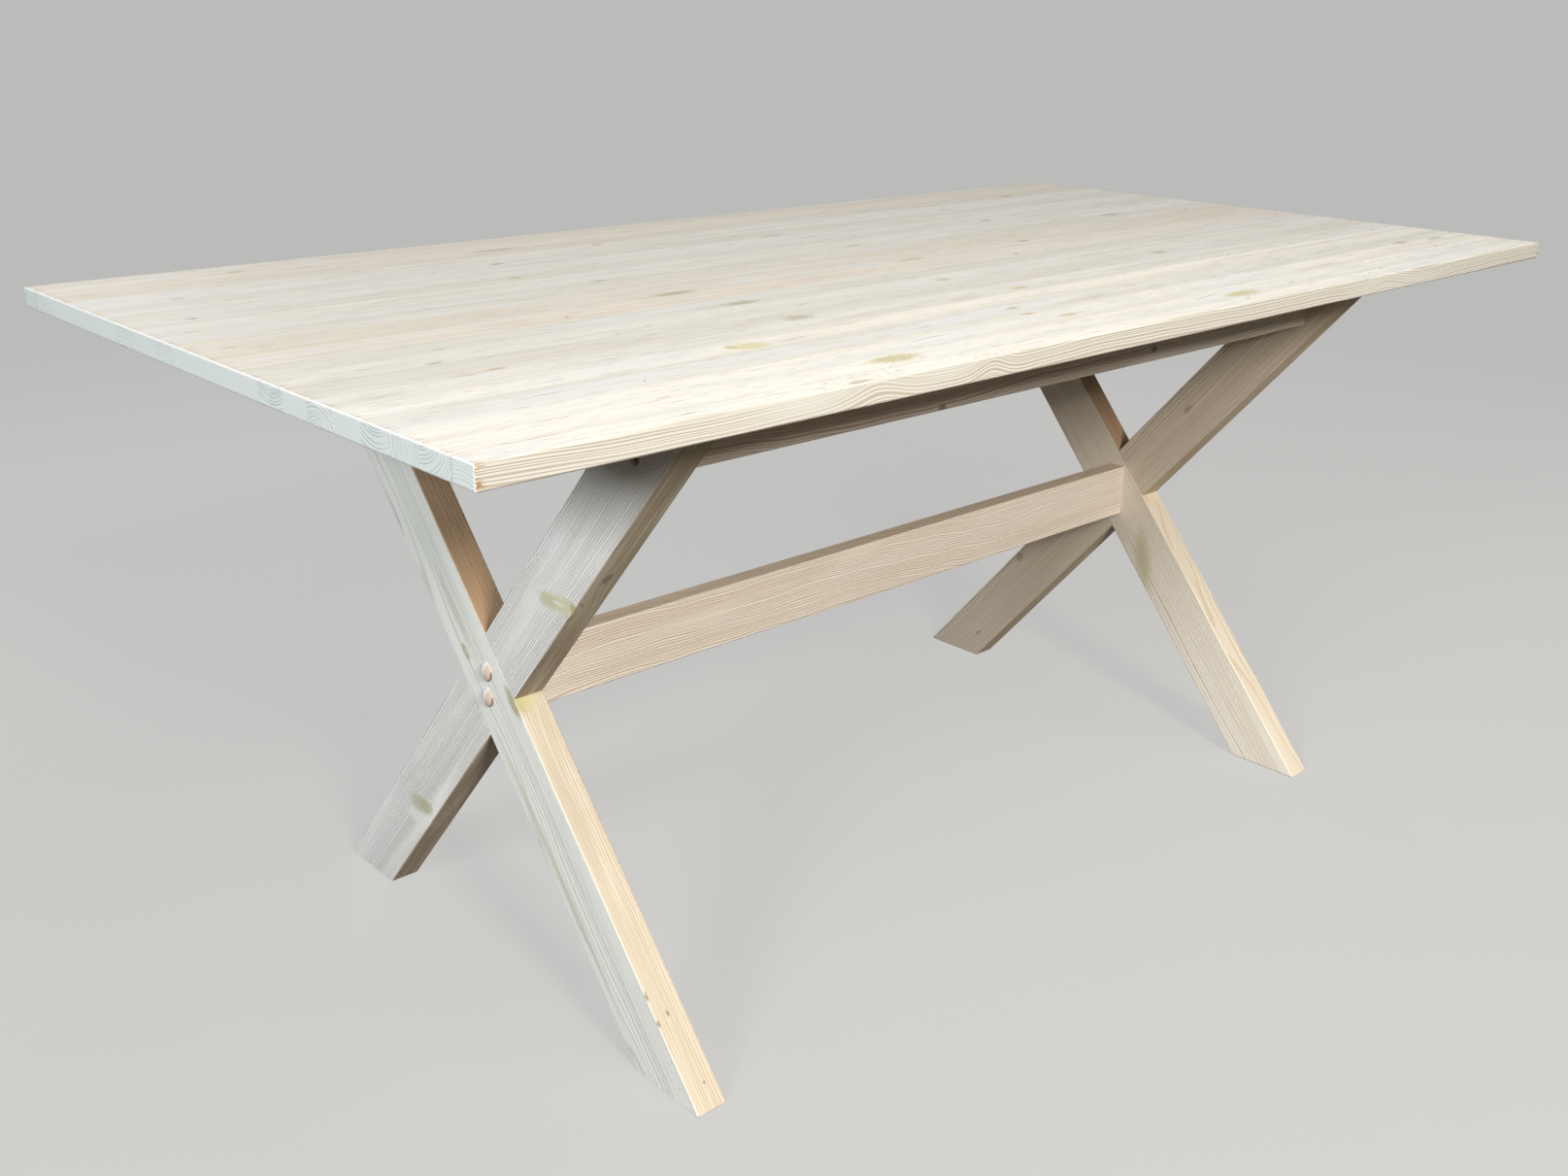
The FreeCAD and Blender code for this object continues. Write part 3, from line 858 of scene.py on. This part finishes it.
BOARD_LOOK = Look(
    base=srgb(255, 247, 234), line=srgb(172, 146, 120), streak=srgb(238, 223, 205),
    line_cover=0.70, streak_cover=0.5, relief=0.38,
)
BOARD_GRAIN = {
    "stretcher": Grain((-58, 22), spacing=2.9, waver=1.2, phase=3.3, uneven=0.2),
    "rail_front": Grain((70, 15), spacing=3.0, phase=5.9),
    "rail_back": Grain((-66, -20), spacing=3.0, phase=8.2),
}
BOARD_KNOTS = {
    "stretcher": [],
    "rail_front": [("dark", (-180, -277, 651), (6, 4, 20)), ("dark", (197, -277, 663), (6, 4, 20))],
    "rail_back": [],
}
# Upper narrow faces, darker as painted shade under the top: depths below the face where it begins and is
# full
UPPER_FACE_SHADE = srgb(190, 172, 150)
UPPER_FACE_SHADE_COVER = 0.82
UPPER_SHADE_BEGINS = 1.2
UPPER_SHADE_FULL = 0.3


def board_wood(node):
    """One board on edge, with painted shade on its upper face."""
    half_height = half_sizes(node).z
    wood = Pine(f"wood_{node}", middle(node), ON_EDGE, BOARD_LOOK, BOARD_GRAIN[node], BOARD_KNOTS[node])
    net = wood.net
    height = net.apart(wood.here)[ACROSS]
    upper = net.smooth(height, half_height - UPPER_SHADE_BEGINS, half_height - UPPER_SHADE_FULL)
    # Painted shade on the upper face, for the shade under the top.
    wood.paint(net.times(upper, UPPER_FACE_SHADE_COVER), UPPER_FACE_SHADE)
    wood.show_knots()
    return wood.finish()


def dress_boards():
    """The stretcher and the two rails."""
    for node in BOARD_GRAIN:
        dress(node, board_wood(node))


# Caps and dowels

CAP_LOOK = Look(
    base=srgb(234, 234, 233), line=srgb(214, 204, 196), streak=srgb(226, 221, 217),
    line_cover=0.14, streak_cover=0.4, relief=0.02, roughness=0.40,
)
DOWEL_LOOK = Look(
    base=srgb(214, 184, 140), line=srgb(170, 132, 88), streak=srgb(200, 166, 120),
    line_cover=0.5, streak_cover=0.4, relief=0.06,
)
TURNED_PITH = (30, 20)
TURNED_SPACING = 1.6
TURNED_WAVER = 0.3
TURNED_PHASE_STEP = 0.7
CAP_RADIUS = 10.25
# Painted shade on the front half: its direction and the shares of the radius where it begins and is full
CAP_SHADE = srgb(206, 182, 162)
CAP_SHADE_COVER = 0.85
CAP_SHADE_SIDE = (0.0, -1.0, -0.15)
CAP_SHADE_LEVELS = (0.0, 0.3)
# Painted shadow in the joint below and in front, by the same measures
CAP_SHADOW = srgb(112, 90, 74)
CAP_SHADOW_COVER = 0.8
CAP_SHADOW_SIDE = (0.0, -0.7, -0.7)
CAP_SHADOW_LEVELS = (0.3, 0.7)
CAP_RIM_LEVELS = (0.84, 0.97)


def cap_wood(node, grain):
    """A turned cap, with painted shade on its front half and a painted shadow round its lower front."""
    wood = Pine(f"wood_{node}", middle(node), LYING, CAP_LOOK, grain, ())
    net = wood.net
    place = net.vector("DIVIDE", wood.here, (CAP_RADIUS, CAP_RADIUS, CAP_RADIUS))
    # Painted shade on the cap's front half.
    shaded_side = net.smooth(net.vector("DOT_PRODUCT", place, CAP_SHADE_SIDE), *CAP_SHADE_LEVELS)
    wood.paint(net.times(shaded_side, CAP_SHADE_COVER), CAP_SHADE)
    # Painted shadow round the lower front of the cap's rim.
    rim = net.smooth(net.vector("LENGTH", net.vector("MULTIPLY", place, OFF_LINE)), *CAP_RIM_LEVELS)
    low = net.smooth(net.vector("DOT_PRODUCT", place, CAP_SHADOW_SIDE), *CAP_SHADOW_LEVELS)
    wood.paint(net.times(net.times(rim, low), CAP_SHADOW_COVER), CAP_SHADOW)
    return wood.finish()


def dowel_wood(node, grain):
    """A plain dowel."""
    return Pine(f"wood_{node}", middle(node), LYING, DOWEL_LOOK, grain, ()).finish()


def dress_turned():
    """Caps and dowels, with fine grain along the table."""
    for index, node in enumerate(sorted(nodes)):
        grain = Grain(TURNED_PITH, TURNED_SPACING, TURNED_WAVER, TURNED_PHASE_STEP * index)
        if node.startswith("cap_"):
            dress(node, cap_wood(node, grain))
        elif node.startswith("rail_dowel"):
            dress(node, dowel_wood(node, grain))


# Bolts, nuts and screws

# Noise in waves to the millimetre
BLOTCH_NOISE = (0.25, 0.25, 0.25)
BLOTCH_LEVELS = (0.35, 0.7)
TURNING_NOISE = (3.0, 0.4, 0.4)
TURNING_DEPTH = 0.05
STEEL_SMOOTHEST = 0.28
STEEL_SPREAD = 0.2
# Dark and pale blotches
ZINC = (srgb(176, 176, 172), srgb(198, 197, 190))
# The rail bolts' steel is darkened as painted shade, for the shade in their recesses.
RECESS_SHADE_STEEL = (srgb(78, 68, 56), srgb(104, 92, 76))


def steel(name, dark, pale):
    """Steel with fine turning marks and blotches, from a dark to a pale colour."""
    material, net = blank_material(name)
    coordinates = net.new("ShaderNodeTexCoord").outputs["Object"]
    place = net.vector("MULTIPLY", coordinates, (TO_MM, TO_MM, TO_MM))
    blotch = net.noise(place, BLOTCH_NOISE, detail=4.0)
    marks = net.noise(place, TURNING_NOISE)
    colour = net.blend(net.smooth(blotch, *BLOTCH_LEVELS), dark, pale)
    roughness = net.math("MULTIPLY_ADD", marks, STEEL_SPREAD, STEEL_SMOOTHEST)
    shader = net.relief_surface(colour, roughness, marks, TURNING_DEPTH)
    shader.inputs["Metallic"].default_value = 1.0
    return material


def dress_steel():
    """Rail-end bolts in steel darkened as painted shade for their recesses, and zinc on the other
    fasteners.
    """
    zinc = steel("zinc_steel", *ZINC)
    recess_shade = steel("recess_shade_steel", *RECESS_SHADE_STEEL)
    for node in nodes:
        if node.startswith("rail_bolt"):
            dress(node, recess_shade)
        elif "bolt" in node or "nut" in node or "screw" in node:
            dress(node, zinc)


# Floor

FLOOR_SIZE = 80.0
FLOOR_GLOW = srgb(184, 184, 183)
FLOOR_LIT = srgb(112, 112, 110)
FLOOR_BOUNCE = srgb(70, 62, 52)
# Distances from the table, in metres, between which the lamps' light fades from the floor
FLOOR_NEAR = 1.8
FLOOR_FAR = 4.2
BLACK = (0.0, 0.0, 0.0, 1.0)
AMBIENT = (0.108, 0.102, 0.094, 1.0)
# What the floor shows where only the ambient light reaches it
HORIZON = [glow + lit * around for glow, lit, around in zip(FLOOR_GLOW, FLOOR_LIT, AMBIENT)]


def seen_rays(net):
    """1 for what the lens sees, straight or in a shiny or clear surface."""
    rays = net.new("ShaderNodeLightPath").outputs
    shiny = net.math("MAXIMUM", rays["Is Glossy Ray"], rays["Is Transmission Ray"])
    return net.math("MAXIMUM", rays["Is Camera Ray"], shiny)


def floor_material():
    """To the lens it glows evenly as far as the horizon, and it still takes the table's shadow."""
    material, net = blank_material("floor")
    seen = seen_rays(net)
    place = net.new("ShaderNodeTexCoord").outputs["Object"]
    away = net.smooth(net.vector("LENGTH", place), FLOOR_NEAR, FLOOR_FAR)
    lit = net.new("ShaderNodeBsdfDiffuse")
    net.feed(lit.inputs["Color"], net.blend(seen, FLOOR_BOUNCE, net.blend(away, FLOOR_LIT, BLACK)))
    glow = net.new("ShaderNodeEmission")
    net.feed(glow.inputs["Color"], net.blend(away, FLOOR_GLOW, HORIZON))
    net.feed(glow.inputs["Strength"], seen)
    both = net.new("ShaderNodeAddShader")
    net.feed(both.inputs[0], lit.outputs[0])
    net.feed(both.inputs[1], glow.outputs[0])
    net.surface(both)
    return material


def add_floor():
    """A plain pale floor."""
    mesh = bpy.data.meshes.new("floor")
    half = FLOOR_SIZE / 2
    corners = [(-half, -half, 0), (half, -half, 0), (half, half, 0), (-half, half, 0)]
    mesh.from_pydata(corners, [], [(0, 1, 2, 3)])
    mesh.materials.append(floor_material())
    floor = bpy.data.objects.new("floor", mesh)
    bpy.context.scene.collection.objects.link(floor)


# Light

LIGHT_TARGET = Vector((0.0, 0.0, 0.4))
# Lamps: azimuth and elevation in degrees, distance and size in metres, power and colour.
# Azimuth is 0 in front and negative to the left.
LAMPS = {
    "key": (-20, 28.5, 5.0, 0.9, 180.0, (1.0, 0.93, 0.85)),
    "side": (-72, 23, 9.0, 2.2, 460.0, (0.93, 0.98, 1.0)),
    "fill": (30, 28, 5.0, 1.2, 22.0, (0.98, 0.98, 1.0)),
    "overhead": (-10, 62, 2.4, 1.0, 12.0, (1.0, 0.96, 0.88)),
}
# Even, soft lights from far away, by azimuth. Low down they reach upright faces and hardly the floor.
SUNS = {"right": 100, "back": 165}
SUN_ELEVATION = 2.5
SUN_STRENGTH = 1.3
SUN_COLOUR = (1.0, 0.97, 0.93)
SUN_WIDTH = math.radians(16)


def direction(azimuth, elevation):
    """The way from the table to a light, as a vector of length 1."""
    flat = math.cos(math.radians(elevation))
    return Vector((
        math.sin(math.radians(azimuth)) * flat,
        -math.cos(math.radians(azimuth)) * flat,
        math.sin(math.radians(elevation)),
    ))


def hang(name, light, way, distance=1.0):
    """Puts a light where the way leads, turned to the table and out of the lens's sight.

    The distance of a sun makes no difference."""
    holder = bpy.data.objects.new(name, light)
    holder.visible_camera = False
    holder.location = LIGHT_TARGET + way * distance
    holder.rotation_euler = (-way).to_track_quat("-Z", "Y").to_euler()
    bpy.context.scene.collection.objects.link(holder)


def add_lamps():
    """Soft square lamps round the front."""
    for name, (azimuth, elevation, distance, size, power, colour) in LAMPS.items():
        lamp = bpy.data.lights.new(name, "AREA")
        lamp.shape = "SQUARE"
        lamp.size = size
        lamp.energy = power
        lamp.color = colour
        hang(name, lamp, direction(azimuth, elevation), distance)


def add_suns():
    """Low light on the sides that the lamps leave dark."""
    for name, azimuth in SUNS.items():
        sun = bpy.data.lights.new(name, "SUN")
        sun.angle = SUN_WIDTH
        sun.energy = SUN_STRENGTH
        sun.color = SUN_COLOUR
        hang(name, sun, direction(azimuth, SUN_ELEVATION))


def add_world():
    """Dim ambient light, and for the lens the colour that the floor has at the horizon."""
    world = bpy.data.worlds.new("studio")
    world.use_nodes = True
    net = Net(world.node_tree)
    background = world.node_tree.nodes["Background"]
    net.feed(background.inputs["Color"], net.blend(seen_rays(net), AMBIENT, HORIZON))
    bpy.context.scene.world = world


def add_camera():
    """The photograph's view."""
    back = Vector((
        math.sin(CAMERA_AZIMUTH) * math.cos(CAMERA_ELEVATION),
        -math.cos(CAMERA_AZIMUTH) * math.cos(CAMERA_ELEVATION),
        math.sin(CAMERA_ELEVATION),
    ))
    level = (-back).cross(Vector((0, 0, 1))).normalized()
    upright = level.cross(-back)
    right = level * math.cos(CAMERA_ROLL) + upright * math.sin(CAMERA_ROLL)
    up = upright * math.cos(CAMERA_ROLL) - level * math.sin(CAMERA_ROLL)
    lens = bpy.data.cameras.new("camera")
    lens.sensor_fit = "HORIZONTAL"
    lens.sensor_width = SENSOR_WIDTH
    lens.lens = FOCAL_PIXELS * SENSOR_WIDTH / IMAGE_WIDTH
    camera = bpy.data.objects.new("camera", lens)
    turn = Matrix((right, up, back)).transposed()
    camera.matrix_world = Matrix.Translation(CAMERA_PLACE) @ turn.to_4x4()
    bpy.context.scene.collection.objects.link(camera)
    bpy.context.scene.camera = camera


dress_top()
dress_legs()
dress_boards()
dress_turned()
dress_steel()
add_floor()
add_lamps()
add_suns()
add_world()
add_camera()
bpy.context.scene.view_settings.view_transform = "Standard"
